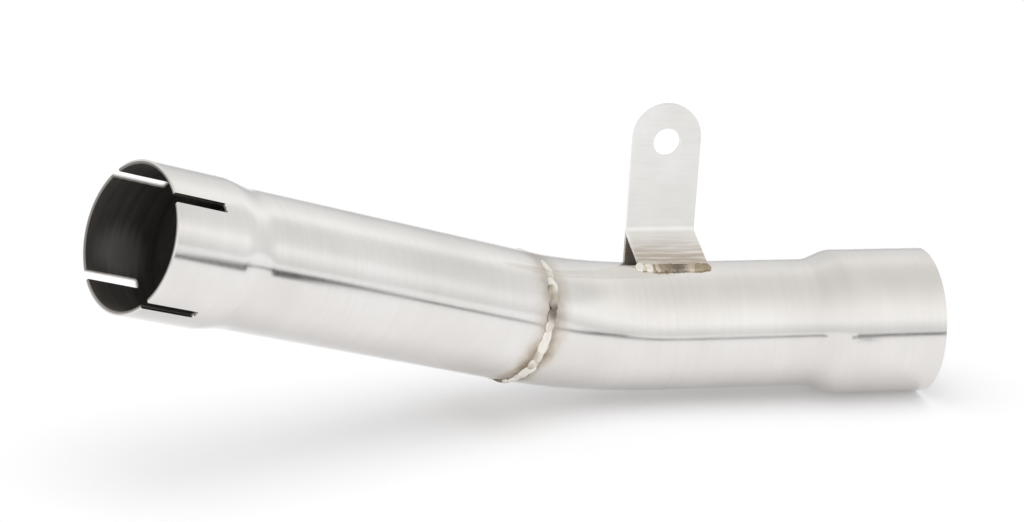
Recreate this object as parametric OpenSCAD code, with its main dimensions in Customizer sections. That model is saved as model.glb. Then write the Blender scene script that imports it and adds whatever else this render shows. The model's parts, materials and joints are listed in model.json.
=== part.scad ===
// Motorcycle decat pipe: a slotted slip-on inlet, one mandrel bend, a plain outlet socket and a hanger.
// Millimetres. The origin is the centre of the outlet's mouth, +X points out of that mouth,
// and +Z points up along the hanger tab.

/* [Tube] */
// Outside diameter of the tube stock
tube_od = 50.8; // [46:0.1:60.5]
// Wall thickness of the tube stock
wall = 1.5; // [1:0.1:2]
// Width of the broken edge at each mouth
edge = 0.25; // [0.1:0.05:0.4]

/* [Run of the pipe] */
// Length of the straight inlet tube, from its mouth to the girth weld
inlet_len = 179.5; // [120:0.5:260]
// Straight lead between the girth weld and the start of the bend
bend_lead = 3.5; // [3:0.5:20]
// Radius of the bend, to the tube's centre line
bend_radius = 127; // [100:1:200]
// Angle of the bend, in degrees
bend_angle = 30; // [10:1:60]
// Length of the straight run, from the end of the bend to the outlet's mouth
outlet_len = 111.5; // [100:0.5:200]
// Turn of the bend's plane about the outlet, away from level, in degrees
bend_turn = 37.6; // [0:0.1:90]

/* [Inlet mouth] */
// Outside diameter of the header's pipe, which slides into the mouth
header_od = 50.8; // [46:0.1:60]
// Gap all round between the header's pipe and the mouth, before it is clamped
header_gap = 0.25; // [0.05:0.05:0.5]
// Length of the widened mouth
mouth_len = 30; // [28:0.5:50]
// Length of the taper behind the mouth
mouth_taper = 14.5; // [8:0.5:20]
// Length of each clamping slot
slot_len = 22; // [10:0.5:26]
// Width of each clamping slot
slot_w = 3.8; // [2.4:0.1:6]
// Radius of the corners at the blind end of a slot
slot_corner = 1.1; // [0.3:0.1:1.2]
// Number of slots
slot_count = 4; // [2:1:6]
// Turn of the first slot from the plane of the bend, in degrees
slot_turn = 11.5; // [0:0.5:45]

/* [Outlet socket] */
// Outside diameter of the silencer's pipe, which slides into the socket
silencer_od = 54; // [46:0.1:62]
// Gap all round between the silencer's pipe and the socket
silencer_gap = 0.5; // [0.05:0.05:0.5]
// Length of the socket
socket_len = 38; // [30:0.5:50]
// Length of the taper behind the socket
socket_taper = 13.5; // [8:0.5:20]

/* [Hanger] */
// Width of the tab and of its brace
tab_w = 28; // [20:0.5:34]
// Thickness of the sheet
sheet = 2; // [1.5:0.1:3]
// Distance of the tab's middle from the outlet's mouth
tab_back = 108; // [90:0.5:114]
// How far the tab's rear face lies in front of the back of the tube
tab_inset = 7.9; // [4:0.1:12]
// Height of the fold's corner above the top of the tube
fold_rise = 9.5; // [7:0.1:14]
// Turn of the folded leg's foot in front of the top of the tube, in degrees
foot_turn = 7.4; // [0:0.1:15]
// Depth that the foot's corner is ground to seat on the tube
foot_bite = 0.3; // [0.2:0.05:0.8]
// Inside radius of the fold
fold_r = 2.5; // [1:0.1:4]
// Height of the tab's round top above the fold
tab_h = 51.5; // [42:0.5:70]
// Diameter of the bolt hole
hole_d = 11; // [6:0.5:13]
// Distance of the bolt hole's centre below the round top
hole_drop = 15.5; // [10:0.5:20]

/* [Welds] */
// Width of the girth weld
girth_w = 4.4; // [3:0.1:5.5]
// Height of the girth weld above the tube
girth_h = 1; // [0.4:0.1:1.5]
// Number of ripples round the girth weld
girth_ripples = 72; // [36:1:80]
// Reach of a fillet bead along the tube, from the corner that it fills
bead_reach = 4.5; // [3:0.1:6]
// Height of a fillet bead above the tube
bead_h = 2.3; // [1.5:0.1:3]
// Length of one ripple of a fillet bead
bead_ripple = 2.2; // [1.6:0.1:4]
// Radius of the drops in the seam between brace and tab
seam_r = 1.9; // [1.4:0.1:2.5]

/* [Hidden] */

$fn = 96;
over = 1;
tube_r = tube_od / 2;

// A bend draws the tube down by a hair, and the straight runs reach as far into it
draw = 0.05;
bend_r = tube_r - draw;
mouth_r = header_od / 2 + header_gap + wall;
socket_r = silencer_od / 2 + silencer_gap + wall;

// The tab's front face and the fold's corner on it, the foot's lower corner, and the fold between
tab_y = tube_r - tab_inset - sheet;
fold_z = tube_r + fold_rise;
foot = (tube_r - foot_bite) * [-sin(foot_turn), cos(foot_turn)];
foot_span = norm([tab_y, fold_z] - foot);
fold_angle = atan2(tab_y - foot.x, fold_z - foot.y) + asin(sheet / foot_span);
fold_tangent = fold_r * tan(fold_angle / 2);
fold_centre = [tab_y - fold_r, fold_z + fold_tangent];
leg_len = sqrt(pow(foot_span, 2) - pow(sheet, 2)) - fold_tangent;
tab_top = fold_z + tab_h;

// The brace stops a little below the fold's tangent line, so that its front edge sits on the fold
brace_top = fold_centre.y - sheet;

// Steps of a smooth taper, of a ripple, and across a bead
taper_steps = 12;
ripple_steps = 4;
bead_rows = 6;
girth_rows = 6;

// Share of its height that a bead loses in the valley between two ripples, and how far a ripple lags
// at the edges of the girth bead
ripple_depth = 0.32;
ripple_lag = 0.4;

// How far a fillet bead runs past the sheet's sides, and the share of its size left at its very tips
bead_end = 0.7;
bead_tip = 0.04;

function smooth(t) = t * t * (3 - 2 * t);
function blend(a, b, t) = a + (b - a) * smooth(t);

// A ripple's outline along the bead: a row of round tops with sharp valleys
function ripple(p) = 1 - ripple_depth * (1 - abs(sin(180 * p)));

// Points of the outer side of a tube, from its wide mouth at z = 0 to its far end
function tube_side(wide, narrow, mouth, taper, length) = concat(
    [[wide, 0]],
    [for (i = [0 : taper_steps]) [blend(wide, narrow, i / taper_steps), mouth + taper * i / taper_steps]],
    [[narrow, length]]
);

// Section of a straight tube with a widened mouth, its edges broken
module tube_section(wide, narrow, mouth, taper, length) {
    outer = tube_side(wide, narrow, mouth, taper, length);
    inner = tube_side(wide - wall, narrow - wall, mouth, taper, length);
    rim = [[wide - wall, edge], [wide - wall + edge, 0], [wide - edge, 0], [wide, edge]];
    far = [for (i = [len(inner) - 1 : -1 : 1]) inner[i]];
    polygon(concat(rim, [for (i = [1 : len(outer) - 1]) outer[i]], far));
}

// Frame of the bend: its plane is turned about the outlet's axis
module in_bend_plane() {
    rotate([-bend_turn, 0, 0]) children();
}

// Frame of the girth weld in that plane: +Z points along the flow, into the bend
module before_bend() {
    translate([-outlet_len, -bend_radius, 0])
        rotate([0, 0, bend_angle])
            translate([-bend_lead, bend_radius, 0])
                rotate([0, 90, 0]) children();
}

module at_weld() {
    in_bend_plane() before_bend() children();
}

// Frame of the inlet's mouth: +Z points into the pipe
module at_mouth() {
    at_weld() translate([0, 0, -inlet_len]) children();
}

// The bent stretch, swept from a section drawn round the tube's centre line
module bend() {
    translate([-outlet_len, -bend_radius, 0])
        rotate([0, 0, 90])
            rotate_extrude(angle = bend_angle, $fn = 180)
                translate([bend_radius, 0]) children();
}

module ring(outer, inner) {
    difference() {
        circle(r = outer);
        circle(r = inner);
    }
}

// Space on one side of the bend's end, round the hanger: side 1 is the straight, -1 the bend
module beside_bend_end(side) {
    reach = 4 * tube_r;
    translate([side * reach / 2 - outlet_len, 0, 0]) cube([reach, 2 * reach, 2 * reach], center = true);
}

// A welded piece cut to the pipe, each part of it to the run of the tube that it stands on
module cut_to_pipe() {
    difference() {
        intersection() {
            children();
            beside_bend_end(1);
        }
        rotate([0, -90, 0]) cylinder(r = tube_r, h = outlet_len + over);
    }
    difference() {
        intersection() {
            children();
            beside_bend_end(-1);
        }
        in_bend_plane() {
            bend() circle(r = bend_r);
            rotate([0, -90, 0]) cylinder(r = bend_r, h = outlet_len);
        }
    }
}

// One clamping slot, seen from outside: open at the mouth, with round corners at its blind end
module slot_outline() {
    straight = slot_len - slot_corner;
    translate([-over, -slot_w / 2]) square([straight + over, slot_w]);
    translate([0, slot_corner - slot_w / 2]) square([slot_len, slot_w - 2 * slot_corner]);
    for (side = [-1, 1])
        translate([straight, side * (slot_w / 2 - slot_corner)]) circle(r = slot_corner, $fn = 48);
}

module inlet_tube() {
    color([0.80, 0.79, 0.77])
    at_mouth()
    difference() {
        rotate_extrude() tube_section(mouth_r, tube_r, mouth_len, mouth_taper, inlet_len);
        for (i = [0 : slot_count - 1])
            rotate([0, 0, -90 - slot_turn - 360 / slot_count * i])
                translate([mouth_r - 2 * wall, 0, 0])
                    rotate([0, -90, 180])
                        linear_extrude(3 * wall) slot_outline();
    }
}

module outlet_tube() {
    color([0.80, 0.79, 0.77])
    in_bend_plane() {
        rotate([0, -90, 0])
            rotate_extrude() tube_section(socket_r, tube_r, socket_len, socket_taper, outlet_len + draw);
        bend() ring(bend_r, bend_r - wall + 2 * draw);
        before_bend() linear_extrude(bend_lead + draw) ring(tube_r, tube_r - wall);
    }
}

// Triangles over the points of sections laid one after the other, each a closed ring of row points
function skin(sections, row, closed) = [
    for (i = [0 : sections - (closed ? 1 : 2)], j = [0 : row - 1])
        let (
            next = (i + 1) % sections,
            k = (j + 1) % row,
            a = i * row + j,
            b = next * row + j,
            c = next * row + k,
            d = i * row + k
        )
        each [[a, c, b], [a, d, c]]
];

// Point of the girth bead at step i round the tube and row j across the bead
function girth_point(i, j, steps) =
    let (
        t = 2 * j / girth_rows - 1,
        turn = 360 * i / steps,
        phase = girth_ripples * i / steps + ripple_lag * t * t,
        base = tube_r / cos(180 / steps),
        r = base + girth_h * pow(1 - t * t, 0.7) * ripple(phase)
    )
    [r * cos(turn), r * sin(turn), t * girth_w / 2];

// The bead that joins the two tubes, a ring of overlapping ripples
module girth_weld() {
    steps = girth_ripples * ripple_steps;
    points = [for (i = [0 : steps - 1], j = [0 : girth_rows]) girth_point(i, j, steps)];
    color([0.72, 0.66, 0.55]) at_weld() polyhedron(points, skin(steps, girth_rows + 1, true));
}

// Outline of the tab, seen from the front: round at the top, with the bolt hole
module tab_outline() {
    r = tab_w / 2;
    difference() {
        union() {
            translate([-r, fold_centre.y]) square([tab_w, tab_top - r - fold_centre.y]);
            translate([0, tab_top - r]) circle(r = r);
        }
        translate([0, tab_top - hole_drop]) circle(d = hole_d);
    }
}

// Frame of the hanger's side view: x is the pipe's Y, y is its Z, and the sheet's width runs along z
module hanger_side() {
    translate([-tab_back - tab_w / 2, 0, 0]) rotate([90, 0, 90]) children();
}

// Frame of the folded leg in that view: the fold's centre, with +X through the sheet and -Y to the foot
module at_leg() {
    hanger_side() translate(fold_centre) rotate([0, 0, -fold_angle]) children();
}

// The folded strip before the corner of its foot is ground to the tube
module tab_strip() {
    translate([-tab_back, tab_y + sheet, 0])
        rotate([90, 0, 0]) linear_extrude(sheet) tab_outline();
    at_leg() {
        rotate_extrude(angle = fold_angle) translate([fold_r, 0]) square([sheet, tab_w]);
        translate([fold_r, -leg_len, 0]) cube([sheet, leg_len, tab_w]);
    }
}

module hanger_tab() {
    color([0.84, 0.84, 0.83]) cut_to_pipe() tab_strip();
}

module hanger_brace() {
    color([0.70, 0.69, 0.67])
    difference() {
        cut_to_pipe() hanger_side() translate([tab_y, 0, 0]) cube([sheet, brace_top, tab_w]);
        hanger_side() translate(fold_centre) translate([0, 0, -over])
            cylinder(r = fold_r + sheet, h = tab_w + 2 * over);
    }
}

// Point over the pipe near the hanger, at x along it, the angle turn behind its top, and lift above it
function over_pipe(x, turn, lift) =
    let (
        r = tube_r + lift,
        beyond = max(0, -outlet_len - x),
        across = r * cos(turn - bend_turn),
        out = sqrt(pow(bend_radius + r * sin(turn - bend_turn), 2) - pow(beyond, 2)) - bend_radius
    )
    [
        x,
        out * cos(bend_turn) + across * sin(bend_turn),
        across * cos(bend_turn) - out * sin(bend_turn)
    ];

// Turn at which the pipe, lifted, meets a sheet's face: corner is on the face, out points away from it
function face_turn(x, lift, corner, out, low, high, tries = 30) =
    let (
        mid = (low + high) / 2,
        p = over_pipe(x, mid, lift),
        beside = ([p.y, p.z] - corner) * out
    )
    tries == 0 ? mid :
    beside < 0 ? face_turn(x, lift, corner, out, mid, high, tries - 1) :
    face_turn(x, lift, corner, out, low, mid, tries - 1);

// Section of a fillet bead at x: down from the face's foot to the toe, and back over the crown.
// way is 1 for a bead that runs down the back of the pipe, and -1 down its front.
function bead_section(x, size, corner, out, way) =
    let (
        step = bead_reach / bead_rows / tube_r * 180 / PI,
        seat = tube_r / cos(step / 2) - tube_r,
        inner = face_turn(x, seat, corner, out, -way * 60, way * 90),
        toe = inner + way * step * bead_rows * size
    )
    [
        for (j = [0 : bead_rows]) over_pipe(x, inner + (toe - inner) * j / bead_rows, seat),
        for (j = [1 : bead_rows])
            let (
                share = j / bead_rows,
                lift = seat + bead_h * size * sin(90 * share),
                face = face_turn(x, lift, corner, out, -way * 60, way * 90)
            )
            over_pipe(x, toe + (face - toe) * share, lift)
    ];

// A rippled fillet bead across the tab's width, in the corner between the pipe and a sheet's face
module fillet_bead(corner, out, way) {
    length = tab_w + 2 * bead_end;
    count = round(length / bead_ripple);
    steps = count * ripple_steps;
    row = 2 * bead_rows + 1;
    sections = [
        for (i = [0 : steps])
            let (
                u = i / steps,
                fade = pow(1 - pow(abs(2 * u - 1), 8) * (1 - bead_tip), 0.5)
            )
            each bead_section(-tab_back + way * length * (0.5 - u), fade * ripple(count * u), corner, out, way)
    ];
    near_end = [for (j = [row - 1 : -1 : 0]) j];
    far_end = [for (j = [0 : row - 1]) steps * row + j];
    polyhedron(sections, concat(skin(steps + 1, row, false), [near_end, far_end]));
}

// The bead in front of the folded leg, which fills the corner at the leg's square end
module tab_weld() {
    color([0.74, 0.69, 0.60]) fillet_bead(foot, [-sin(fold_angle), -cos(fold_angle)], -1);
}

// The bead behind the brace, on the back of the tube
module brace_weld() {
    color([0.74, 0.69, 0.60]) fillet_bead([tab_y + sheet, 0], [1, 0], 1);
}

// The row of drops that joins the brace's top edge to the back of the fold
module brace_seam() {
    count = round((tab_w - 2 * seam_r) / seam_r);
    pitch = (tab_w - 2 * seam_r) / count;
    color([0.74, 0.69, 0.60])
    hanger_side()
    difference() {
        translate([tab_y + sheet - seam_r / 3, brace_top + seam_r / 5, seam_r])
            for (i = [0 : count]) translate([0, 0, pitch * i]) sphere(r = seam_r, $fn = 32);
        translate([tab_y - over, 0, -over]) cube([sheet + over, brace_top, tab_w + 2 * over]);
        translate(concat(fold_centre, -over)) cylinder(r = fold_r + sheet, h = tab_w + 2 * over);
    }
}

inlet_tube();
outlet_tube();
girth_weld();
hanger_tab();
hanger_brace();
tab_weld();
brace_weld();
brace_seam();
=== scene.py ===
import json
import math

import bpy
from mathutils import Matrix, Vector


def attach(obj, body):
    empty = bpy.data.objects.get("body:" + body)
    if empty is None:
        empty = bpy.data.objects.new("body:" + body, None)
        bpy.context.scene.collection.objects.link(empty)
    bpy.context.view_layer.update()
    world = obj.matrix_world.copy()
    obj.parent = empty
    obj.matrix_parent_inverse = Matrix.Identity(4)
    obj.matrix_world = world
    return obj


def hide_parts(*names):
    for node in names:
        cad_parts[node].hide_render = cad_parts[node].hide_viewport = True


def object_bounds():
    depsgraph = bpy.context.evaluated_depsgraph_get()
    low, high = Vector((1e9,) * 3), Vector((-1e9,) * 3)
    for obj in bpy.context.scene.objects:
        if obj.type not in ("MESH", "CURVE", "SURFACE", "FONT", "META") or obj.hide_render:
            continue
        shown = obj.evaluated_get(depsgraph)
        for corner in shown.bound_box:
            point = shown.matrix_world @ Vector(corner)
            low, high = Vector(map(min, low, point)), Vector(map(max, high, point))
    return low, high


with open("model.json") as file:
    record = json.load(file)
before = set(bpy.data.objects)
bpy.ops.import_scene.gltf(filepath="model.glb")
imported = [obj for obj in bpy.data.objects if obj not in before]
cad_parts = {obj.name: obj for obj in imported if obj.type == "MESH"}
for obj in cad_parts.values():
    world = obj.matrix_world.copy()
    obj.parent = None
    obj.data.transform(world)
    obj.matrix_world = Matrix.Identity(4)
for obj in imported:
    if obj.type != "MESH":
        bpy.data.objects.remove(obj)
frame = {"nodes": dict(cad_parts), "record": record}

cad_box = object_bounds()
MM = 0.001
record = frame["record"]
mounts = {mount["name"]: mount for mount in record["mounts"]}


# Inlet tube: a straight length of welded stainless tube, 50.8 mm outside, its mouth swaged wider
# and slotted for a band clamp. Mill-finished and lightly linished round the tube; the inside is
# duller, and its colour is darker as painted shade.
def linear(code, alpha=1.0):
    """Linear colour of an sRGB hex code."""
    parts = [int(code[i:i + 2], 16) / 255 for i in (0, 2, 4)]
    return [p / 12.92 if p <= 0.04045 else ((p + 0.055) / 1.055) ** 2.4 for p in parts] + [alpha]


def add(tree, kind, inputs=None, **settings):
    """A new node with its settings; each input is given a value, or a socket to link from."""
    node = tree.nodes.new(kind)
    for name, value in settings.items():
        setattr(node, name, value)
    for key, value in (inputs or {}).items():
        if isinstance(value, bpy.types.NodeSocket):
            tree.links.new(value, node.inputs[key])
        else:
            node.inputs[key].default_value = value
    return node


def number(tree, operation, *values, clamp=False):
    """The result of a sum on numbers or sockets."""
    return add(tree, "ShaderNodeMath", dict(enumerate(values)), operation=operation, use_clamp=clamp).outputs[0]


def vector(tree, operation, *values, result="Vector", **named):
    """The result of a sum on vectors or sockets."""
    inputs = dict(enumerate(values))
    inputs.update(named)
    return add(tree, "ShaderNodeVectorMath", inputs, operation=operation).outputs[result]


def ramp(tree, value, stops, mode="LINEAR"):
    """A colour that follows a value through stops of (place, hex code)."""
    node = add(tree, "ShaderNodeValToRGB", {"Fac": value})
    node.color_ramp.interpolation = mode
    marks = node.color_ramp.elements
    while len(marks) < len(stops):
        marks.new(1.0)
    for mark, (place, code) in zip(marks, stops):
        mark.position = place
        mark.color = linear(code)
    return node.outputs["Color"]


def fade(tree, value, low, high, start=0.0, end=1.0):
    """A smooth change from start to end while a value goes from low to high."""
    inputs = {"Value": value, "From Min": low, "From Max": high, "To Min": start, "To Max": end}
    return add(tree, "ShaderNodeMapRange", inputs, interpolation_type="SMOOTHSTEP").outputs["Result"]


def blend(tree, share, low, high, kind="MIX"):
    """Two colours mixed by a share; each is a socket or a linear colour."""
    node = add(tree, "ShaderNodeMix", data_type="RGBA", blend_type=kind)
    for key, value in ((0, share), (6, low), (7, high)):
        if isinstance(value, bpy.types.NodeSocket):
            tree.links.new(value, node.inputs[key])
        else:
            node.inputs[key].default_value = value
    return node.outputs[2]


def noise(tree, place, scale, detail=3.0, rough=0.5, result="Fac"):
    """Noise at a place; the scale is in cycles a metre."""
    inputs = {"Vector": place, "Scale": scale, "Detail": detail, "Roughness": rough}
    return add(tree, "ShaderNodeTexNoise", inputs).outputs[result]


def new_material(name):
    """A node material with its shader and an Object coordinate."""
    material = bpy.data.materials.new(name)
    material.use_nodes = True
    tree = material.node_tree
    shader = tree.nodes["Principled BSDF"]
    place = add(tree, "ShaderNodeTexCoord").outputs["Object"]
    return material, tree, shader, place


def give(name, material):
    """Puts a material on a carried-over node."""
    node = frame["nodes"][name]
    node.data.materials.clear()
    node.data.materials.append(material)


mouth = Vector(mounts["inlet_slip"]["pos_m"])
along = -Vector(mounts["inlet_slip"]["axis"])
inlet_length = 179.5 * MM
weld_centre = mouth + along * inlet_length
tube_radius = 25.4 * MM
wall = 1.5 * MM
bend_lead = 3.5 * MM
bend_radius = 127 * MM
outlet_run = 111.5 * MM
bend_end = Vector((-outlet_run, 0, 0))
bend_normal = Vector((1, 0, 0)).cross(along).normalized()
bend_centre = bend_end + bend_radius * bend_normal.cross(Vector((1, 0, 0))).normalized()
if (bend_centre - weld_centre).length > bend_radius * 1.2:
    bend_centre = 2 * bend_end - bend_centre


def linished_steel(name, axis, start, widths, bore_shade_tint):
    """Stainless tube linished round its axis. The eye sees soft, slightly broken reflections, faint
    rings across the tube, and a dull inside. The inside's colour is darkened as painted shade,
    with a painted highlight on the lower inner rim at the inlet mouth."""
    material, tree, shader, place = new_material(name)
    offset = vector(tree, "SUBTRACT", place, start)
    reach = vector(tree, "DOT_PRODUCT", offset, axis, result="Value")
    straight = vector(tree, "SCALE", Vector(axis), Scale=reach)
    spoke = vector(tree, "SUBTRACT", offset, straight)
    radius = vector(tree, "LENGTH", spoke, result="Value")
    wide, narrow, wide_end, narrow_start = widths
    outer = fade(tree, reach, wide_end, narrow_start, wide, narrow)
    inside = fade(tree, number(tree, "SUBTRACT", outer, radius), 0.6 * MM, 0.75 * MM)
    if name == "outlet_steel":
        turned = vector(tree, "SUBTRACT", place, bend_centre)
        level = vector(tree, "DOT_PRODUCT", turned, bend_normal, result="Value")
        flat = vector(tree, "SUBTRACT", turned, vector(tree, "SCALE", bend_normal, Scale=level))
        gap = number(tree, "SUBTRACT", vector(tree, "LENGTH", flat, result="Value"), bend_radius)
        round_bend = number(tree, "SQRT", number(tree, "ADD", number(tree, "POWER", number(tree, "ABSOLUTE", gap), 2.0),
                                                 number(tree, "POWER", number(tree, "ABSOLUTE", level), 2.0)))
        in_bend = number(tree, "GREATER_THAN", reach, outlet_run)
        bend_inside = number(tree, "LESS_THAN", round_bend, tube_radius - 0.7 * MM)
        inside = number(tree, "ADD", number(tree, "MULTIPLY", inside, number(tree, "SUBTRACT", 1.0, in_bend)),
                        number(tree, "MULTIPLY", bend_inside, in_bend))
    rings_place = vector(tree, "ADD", vector(tree, "SCALE", spoke, Scale=0.05), straight)
    rings = noise(tree, rings_place, 1 / (1.6 * MM), 3.0, 0.6)
    patches = noise(tree, place, 1 / (38 * MM), 2.0, 0.5)
    fine = noise(tree, place, 1 / (1.4 * MM), 3.0, 0.6)
    skin = ramp(tree, patches, [(0.3, "DFDCD9"), (0.55, "E8E5E2"), (0.75, "EDEBE9")])
    skin = blend(tree, number(tree, "MULTIPLY", rings, 0.38), skin, linear("D2D0CD"))
    distance = vector(tree, "DOT_PRODUCT", vector(tree, "SUBTRACT", place, weld_centre), along, result="Value")
    cloud = noise(tree, place, 1 / (11 * MM), 3.0, 0.6)
    near = number(tree, "ABSOLUTE", number(tree, "SUBTRACT", distance, 0.8 * MM))
    near = number(tree, "SUBTRACT", near, number(tree, "MULTIPLY", cloud, 10 * MM))
    bands = [(0.0, "7E6C55"), (0.25, "A8977F"), (0.5, "BDB09C"), (0.75, "CFC7B9"), (1.0, "DEDAD4")]
    tint = ramp(tree, fade(tree, near, -5 * MM, 8 * MM), bands)
    rise = add(tree, "ShaderNodeSeparateXYZ", {"Vector": place}).outputs["Z"]
    low = fade(tree, rise, -8 * MM, 30 * MM, 1.0, 0.45)
    weight = number(tree, "MULTIPLY", fade(tree, near, -4 * MM, 8 * MM, 0.95, 0.0), low)
    skin = blend(tree, weight, skin, tint)
    # Painted shade: the inside's colour is darker than the outside's, standing in for the shade in the bore.
    bore_shade_and_glint = ramp(tree, noise(tree, rings_place, 1 / (3 * MM), 4.0, 0.65),
                [(0.35, bore_shade_tint), (0.62, "96928E"), (0.78, "ACA8A4")])
    # Painted highlight: the lower inner rim by the inlet mouth is lightened, standing in for the outside light that it
    # reflects.
    rim_glint_gap = vector(tree, "DISTANCE", place, Vector((-333, -60, 52)) * MM, result="Value")
    rim_glint_gap = number(tree, "ADD", rim_glint_gap, number(tree, "MULTIPLY", rings, 9 * MM))
    bore_shade_and_glint = blend(tree, fade(tree, rim_glint_gap, 9 * MM, 18 * MM, 0.8, 0.0), bore_shade_and_glint, linear("D8D5D2"))
    tree.links.new(blend(tree, inside, skin, bore_shade_and_glint), shader.inputs["Base Color"])
    shader.inputs["Metallic"].default_value = 1.0
    gloss = number(tree, "ADD", number(tree, "MULTIPLY", fine, 0.08), number(tree, "MULTIPLY", patches, 0.10))
    gloss = number(tree, "ADD", gloss, 0.07)
    gloss = number(tree, "ADD", gloss, number(tree, "MULTIPLY", inside, 0.35))
    tree.links.new(gloss, shader.inputs["Roughness"])
    height = number(tree, "ADD", number(tree, "MULTIPLY", rings, 0.6), number(tree, "MULTIPLY", fine, 0.4))
    bump = add(tree, "ShaderNodeBump", {"Height": height, "Strength": 0.12, "Distance": 0.03 * MM})
    tree.links.new(bump.outputs["Normal"], shader.inputs["Normal"])
    return material


inlet_steel = linished_steel("inlet_steel", along, mouth,
                             (27.15 * MM, tube_radius, 30 * MM, 44.5 * MM), "827E7A")
give("inlet_tube", inlet_steel)


# Outlet tube: the same stock, mandrel bent through thirty degrees, its end swaged to a plain
# socket that slips over the silencer's pipe. Same linished finish.
outlet_steel = linished_steel("outlet_steel", Vector((-1, 0, 0)), Vector((0, 0, 0)),
                              (29.0 * MM, tube_radius, 38 * MM, 51.5 * MM), "827E7A")
give("outlet_tube", outlet_steel)


# Girth weld: a hand-laid TIG bead that joins the two tubes, a row of overlapping ripples of filler,
# straw and brown where it was hot.
def bead_metal(name, pale, warm, dark, darkened_at):
    """TIG filler metal, cast in ripples and tinted by heat. The eye sees small bright facets between
    straw, brown and near black ones. Round one given point the colour goes dark brown: heat tint on
    the fillets, a painted reflection of the tent's dark edge on the girth bead."""
    material, tree, shader, place = new_material(name)
    blotch = noise(tree, place, 1 / (14 * MM), 2.0, 0.6)
    grain = noise(tree, place, 1 / (0.8 * MM), 3.0, 0.6)
    own = add(tree, "ShaderNodeAttribute", attribute_name="tint").outputs["Fac"]
    mixed = number(tree, "ADD", blotch, number(tree, "MULTIPLY", number(tree, "SUBTRACT", own, 0.5), 0.32))
    skin = ramp(tree, mixed, [(0.30, dark), (0.38, warm), (0.5, pale), (0.72, "F6F3EC")])
    darkened_gap = vector(tree, "DISTANCE", place, darkened_at, result="Value")
    skin = blend(tree, fade(tree, darkened_gap, 1.5 * MM, 6 * MM, 0.85, 0.0), skin, linear("5E5245"))
    tree.links.new(skin, shader.inputs["Base Color"])
    shader.inputs["Metallic"].default_value = 1.0
    gloss = number(tree, "ADD", number(tree, "MULTIPLY", grain, 0.25), 0.24)
    tree.links.new(gloss, shader.inputs["Roughness"])
    bump = add(tree, "ShaderNodeBump", {"Height": grain, "Strength": 0.35, "Distance": 0.12 * MM})
    tree.links.new(bump.outputs["Normal"], shader.inputs["Normal"])
    return material


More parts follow.
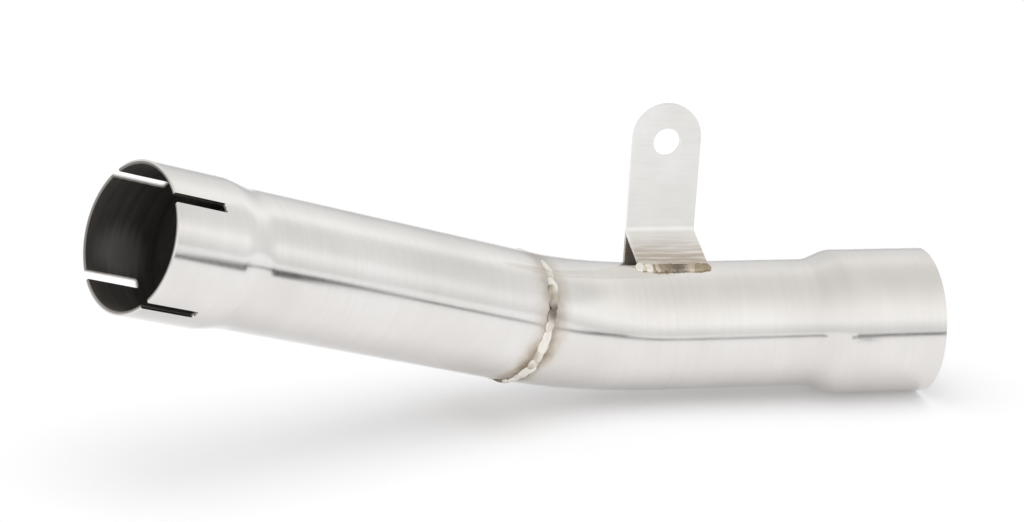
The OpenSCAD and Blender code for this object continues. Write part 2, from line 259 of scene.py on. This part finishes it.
def laid_bead(name, path, length, width, height, seed, metal):
    """A bead of overlapping ripples along a path of (point, outward, forward), as one plain mesh."""
    mesh = bpy.data.meshes.new(name)
    mesh.from_pydata([tuple(point) for point, outward, forward in path], [], [])
    for word, place_in in (("outward", 1), ("forward", 2)):
        layer = mesh.attributes.new(word, "FLOAT_VECTOR", "POINT")
        for item, step in zip(layer.data, path):
            item.vector = step[place_in]
    bead = bpy.data.objects.new(name, mesh)
    bpy.context.scene.collection.objects.link(bead)

    tree = bpy.data.node_groups.new(name + "_ripples", "GeometryNodeTree")
    sockets = tree.interface
    sockets.new_socket("Geometry", in_out="INPUT", socket_type="NodeSocketGeometry")
    sizes = {}
    for word, kind in (("Length", "Float"), ("Width", "Float"), ("Height", "Float"), ("Seed", "Int")):
        sizes[word] = sockets.new_socket(word, in_out="INPUT", socket_type="NodeSocket" + kind).identifier
    sizes["Metal"] = sockets.new_socket("Metal", in_out="INPUT", socket_type="NodeSocketMaterial").identifier
    sockets.new_socket("Geometry", in_out="OUTPUT", socket_type="NodeSocketGeometry")
    given = add(tree, "NodeGroupInput").outputs
    ball = add(tree, "GeometryNodeMeshIcoSphere", {"Radius": 0.5, "Subdivisions": 3}).outputs["Mesh"]
    outward = add(tree, "GeometryNodeInputNamedAttribute", {"Name": "outward"}, data_type="FLOAT_VECTOR")
    forward = add(tree, "GeometryNodeInputNamedAttribute", {"Name": "forward"}, data_type="FLOAT_VECTOR")
    stand = add(tree, "FunctionNodeAlignRotationToVector", {"Vector": outward.outputs[0]}, axis="Z")
    lie = add(tree, "FunctionNodeAlignRotationToVector",
              {"Rotation": stand.outputs[0], "Vector": forward.outputs[0]}, axis="X", pivot_axis="Z")
    uneven = add(tree, "FunctionNodeRandomValue",
                 {"Min": (0.75, 0.8, 0.75), "Max": (1.3, 1.12, 1.2), "Seed": given["Seed"]}, data_type="FLOAT_VECTOR")
    size = add(tree, "ShaderNodeCombineXYZ", {"X": given["Length"], "Y": given["Width"], "Z": given["Height"]})
    size = add(tree, "ShaderNodeVectorMath", {0: size.outputs[0], 1: uneven.outputs[0]}, operation="MULTIPLY")
    sway = add(tree, "FunctionNodeRandomValue",
               {"Min": (-0.16, -0.2, -0.4), "Max": (0.16, 0.2, 0.4), "Seed": given["Seed"]},
               data_type="FLOAT_VECTOR")
    shade = add(tree, "FunctionNodeRandomValue", {"Seed": given["Seed"]}, data_type="FLOAT")
    points = add(tree, "GeometryNodeStoreNamedAttribute",
                 {"Geometry": given["Geometry"], "Name": "tint", "Value": shade.outputs[1]}).outputs[0]
    laid = add(tree, "GeometryNodeInstanceOnPoints",
               {"Points": points, "Instance": ball, "Rotation": lie.outputs[0], "Scale": size.outputs[0]})
    swung = add(tree, "GeometryNodeRotateInstances", {"Instances": laid.outputs[0], "Rotation": sway.outputs[0]})
    whole = add(tree, "GeometryNodeRealizeInstances", {"Geometry": swung.outputs[0]}).outputs[0]
    smooth = add(tree, "GeometryNodeSetShadeSmooth", {"Geometry": whole}).outputs[0]
    finished = add(tree, "GeometryNodeSetMaterial", {"Geometry": smooth, "Material": given["Metal"]}).outputs[0]
    add(tree, "NodeGroupOutput", {"Geometry": finished})

    ripples = bead.modifiers.new("ripples", "NODES")
    ripples.node_group = tree
    for word, value in (("Length", length), ("Width", width), ("Height", height), ("Seed", seed), ("Metal", metal)):
        ripples[sizes[word]] = value
    seen = bead.evaluated_get(bpy.context.evaluated_depsgraph_get())
    plain = bpy.data.meshes.new_from_object(seen)
    bead.modifiers.clear()
    bead.data = plain
    return bead


ripple_count = 38
level_side = bend_normal.cross(along).normalized()
# Painted reflection: the girth bead is painted dark brown round this point, where the tent's dark edge mirrors in it.
dark_reflection_turn = math.radians(196)
dark_reflection_spot = weld_centre + (level_side * math.cos(dark_reflection_turn) + bend_normal * math.sin(dark_reflection_turn)) * tube_radius
girth_metal = bead_metal("girth_filler", "EAE5DC", "B3A999", "6A625A", dark_reflection_spot)
stray_mean = 1.3 * MM
stray_sway = 1.6 * MM
straightest_turn = math.radians(212)
girth_path = []
for i in range(ripple_count):
    turn_round = 2 * math.pi * i / ripple_count
    outward = level_side * math.cos(turn_round) + bend_normal * math.sin(turn_round)
    forward = along.cross(outward).normalized()
    degrees = math.degrees(turn_round)
    stray = stray_mean - stray_sway * math.cos(2 * (turn_round - straightest_turn))
    sunk = 1.0 * MM * max(0.0, 1 - abs(degrees - 130) / 45)
    girth_path.append((weld_centre + along * stray + outward * (tube_radius - sunk), outward, forward))
girth_bead = laid_bead("girth_bead", girth_path, 6.4 * MM, 4.9 * MM, 1.8 * MM, 7, girth_metal)
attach(girth_bead, "root")
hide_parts("girth_weld")


# Hanger tab: 2 mm stainless strip with a punched hole and a round top, folded forward so that its
# leg stands on the tube. Brushed across its width.
def brushed_sheet(name, pale, shade):
    """Brushed stainless sheet. The eye sees fine level lines in a pale, satin grey."""
    material, tree, shader, place = new_material(name)
    lines_place = vector(tree, "MULTIPLY", place, Vector((0.06, 1.0, 1.0)))
    lines = noise(tree, lines_place, 1 / (1.1 * MM), 4.0, 0.65)
    patches = noise(tree, place, 1 / (16 * MM), 2.0, 0.5)
    skin = ramp(tree, patches, [(0.3, shade), (0.7, pale)])
    skin = blend(tree, number(tree, "MULTIPLY", lines, 0.3), skin, linear("CFCDCA"))
    rise = add(tree, "ShaderNodeSeparateXYZ", {"Vector": place}).outputs["Z"]
    stain = number(tree, "MULTIPLY", fade(tree, rise, 27 * MM, 35 * MM, 0.85, 0.0), fade(tree, lines, 0.35, 0.6, 0.35, 1.0))
    skin = blend(tree, stain, skin, linear("B7A796"))
    tree.links.new(skin, shader.inputs["Base Color"])
    shader.inputs["Metallic"].default_value = 1.0
    gloss = number(tree, "ADD", number(tree, "MULTIPLY", lines, 0.16), 0.42)
    tree.links.new(gloss, shader.inputs["Roughness"])
    bump = add(tree, "ShaderNodeBump", {"Height": lines, "Strength": 0.2, "Distance": 0.04 * MM})
    tree.links.new(bump.outputs["Normal"], shader.inputs["Normal"])
    return material


give("hanger_tab", brushed_sheet("tab_sheet", "FAF9F7", "F2F1EE"))


# Hanger brace: an offcut of the same strip, butted under the fold and standing on the tube. Its
# sheet is coloured darker than the tab's, as painted shade in the cavity behind the leg.
give("hanger_brace", brushed_sheet("brace_shaded_sheet", "CFCDCA", "BDBBB7"))


# Fillet beads: the tab's foot, the brace's foot and the seam between them, all TIG welded.
fillet_metal = bead_metal("fillet_filler", "EAE3D6", "CBBFAC", "A79983", Vector((-107, -6, 27)) * MM)
for name in ("brace_weld", "brace_seam"):
    give(name, fillet_metal)

cast = sorted((vertex.co.copy() for vertex in frame["nodes"]["tab_weld"].data.vertices), key=lambda co: co.x)
row_count = 17
foot_path = []
for i in range(row_count):
    reach_x = cast[0].x + (cast[-1].x - cast[0].x) * (i + 0.5) / row_count
    row = [co for co in cast if abs(co.x - reach_x) < 1.2 * MM]
    point = sum(row, Vector()) / len(row)
    outward = Vector((0, point.y - 8 * MM, point.z)).normalized()
    foot_path.append((point, outward, Vector((1, 0, 0))))
tab_bead = laid_bead("tab_bead", foot_path, 3.6 * MM, 4.6 * MM, 1.9 * MM, 4, fillet_metal)
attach(tab_bead, "root")
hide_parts("tab_weld")


# Studio: a pale floor under an even white tent, whose front edge mirrors in the steel as one dark line.
def stage_card(name, corners, material):
    """A flat card of the studio."""
    mesh = bpy.data.meshes.new(name)
    mesh.from_pydata([tuple(corner) for corner in corners], [], [list(range(len(corners)))])
    mesh.materials.append(material)
    card = bpy.data.objects.new(name, mesh)
    bpy.context.scene.collection.objects.link(card)
    return card


ground = cad_box[0][2]
floor_material, tree, shader, place = new_material("floor_paper")
shader.inputs["Base Color"].default_value = linear("F8F8F9")
shader.inputs["Roughness"].default_value = 0.9
shader.inputs["Specular IOR Level"].default_value = 0.0
shader.inputs["Emission Color"].default_value = (1, 1, 1, 1)
rays = add(tree, "ShaderNodeLightPath").outputs
seen = number(tree, "ADD", rays["Is Camera Ray"], rays["Is Glossy Ray"])
seen = number(tree, "ADD", seen, rays["Is Transmission Ray"])
tree.links.new(number(tree, "MULTIPLY", seen, 0.16), shader.inputs["Emission Strength"])
half = 6.0
stage_card("floor", [(-half, -half, ground), (half, -half, ground), (half, half, ground), (-half, half, ground)],
           floor_material)

edge_material, tree, shader, place = new_material("tent_edge")
shader.inputs["Base Color"].default_value = linear("141414")
shader.inputs["Roughness"].default_value = 1.0
shader.inputs["Specular IOR Level"].default_value = 0.0
sight = Vector((0.2756, 0.9613, 0))
side = Vector((0.9613, -0.2756, 0))
edge_centre = Vector((0.05, -0.29, ground + 1 * MM))
edge_depth = 0.09
edge_ends = (-0.10, 0.25)
corners = [edge_centre + side * edge_ends[a] + sight * edge_depth / 2 * b
           for a, b in ((0, -1), (1, -1), (1, 1), (0, 1))]
lip = [edge_centre + side * 0.02, edge_centre + side * 0.16]
lip += [point + Vector((0, 0, 16 * MM)) for point in reversed(lip)]
post = [Vector((4, -112, 2)), Vector((59, -272, 8)), Vector((59, -272, 27)), Vector((4, -112, 12))]
post = [point * MM + Vector((0, 0, ground)) for point in post]
for name, shape in (("tent_edge", corners), ("tent_lip", lip), ("tent_post", post)):
    card = stage_card(name, shape, edge_material)
    card.visible_camera = False
    card.visible_diffuse = False
    card.visible_shadow = False
    card.visible_transmission = False

lamp_data = bpy.data.lights.new("key", "SUN")
lamp_data.energy = 0.8
lamp_data.angle = math.radians(60)
lamp = bpy.data.objects.new("key", lamp_data)
bpy.context.scene.collection.objects.link(lamp)
lamp.visible_glossy = False
lamp.rotation_mode = "QUATERNION"
lamp.rotation_quaternion = Vector((-0.12, 0.22, -1.0)).to_track_quat("-Z", "Y")

world = bpy.data.worlds.new("tent")
bpy.context.scene.world = world
world.use_nodes = True
tree = world.node_tree
tree.nodes.clear()
direction = add(tree, "ShaderNodeTexCoord").outputs["Generated"]
height = add(tree, "ShaderNodeSeparateXYZ", {"Vector": direction}).outputs["Z"]
tent = ramp(tree, height, [(0.0, "D8D8D8"), (0.1, "E6E6E6"), (0.3, "FFFFFF"), (0.55, "FBFBFA"),
                           (0.75, "EFEEEC"), (1.0, "DAD8D5")])
corner = vector(tree, "DOT_PRODUCT", direction, Vector((0.88, 0.10, 0.46)).normalized(), result="Value")
shade = fade(tree, corner, 0.90, 0.995, 1.0, 0.78)
back = vector(tree, "DOT_PRODUCT", direction, Vector((0.1, 0.99, 0.1)).normalized(), result="Value")
shade = number(tree, "MULTIPLY", shade, fade(tree, back, 0.6, 1.0, 1.0, 0.72))
tent = vector(tree, "SCALE", tent, Scale=shade)
mirror = add(tree, "ShaderNodeBackground", {"Color": tent, "Strength": 1.14})
plain = add(tree, "ShaderNodeBackground", {"Color": (1, 1, 1, 1), "Strength": 0.70})
clear = add(tree, "ShaderNodeBackground", {"Color": (1, 1, 1, 1), "Strength": 1.0})
rays = add(tree, "ShaderNodeLightPath").outputs
lit = add(tree, "ShaderNodeMixShader", {0: rays["Is Glossy Ray"], 1: plain.outputs[0], 2: mirror.outputs[0]})
seen = add(tree, "ShaderNodeMixShader", {0: rays["Is Camera Ray"], 1: lit.outputs[0], 2: clear.outputs[0]})
add(tree, "ShaderNodeOutputWorld", {"Surface": seen.outputs[0]})

bpy.context.scene.view_settings.view_transform = "Standard"

# Camera: the photograph's, a long lens a metre away, a little above the pipe and turned to its left.
lens_pixels = 2880.2
frame_pixels = 1024
camera_data = bpy.data.cameras.new("camera")
camera_data.sensor_fit = "HORIZONTAL"
camera_data.sensor_width = 36
camera_data.lens = 36 * lens_pixels / frame_pixels
camera_data.clip_start = 0.01
camera_data.clip_end = 100
camera = bpy.data.objects.new("camera", camera_data)
bpy.context.scene.collection.objects.link(camera)
look = Vector((0.26387, 0.92028, -0.28888)).normalized()
right = Vector((0.96437, -0.25761, 0.06021))
right = (right - look * right.dot(look)).normalized()
up = right.cross(look)
turn = Matrix((right, up, -look)).transposed().to_4x4()
camera.matrix_world = Matrix.Translation((-0.4672, -1.0267, 0.3503)) @ turn
bpy.context.scene.camera = camera
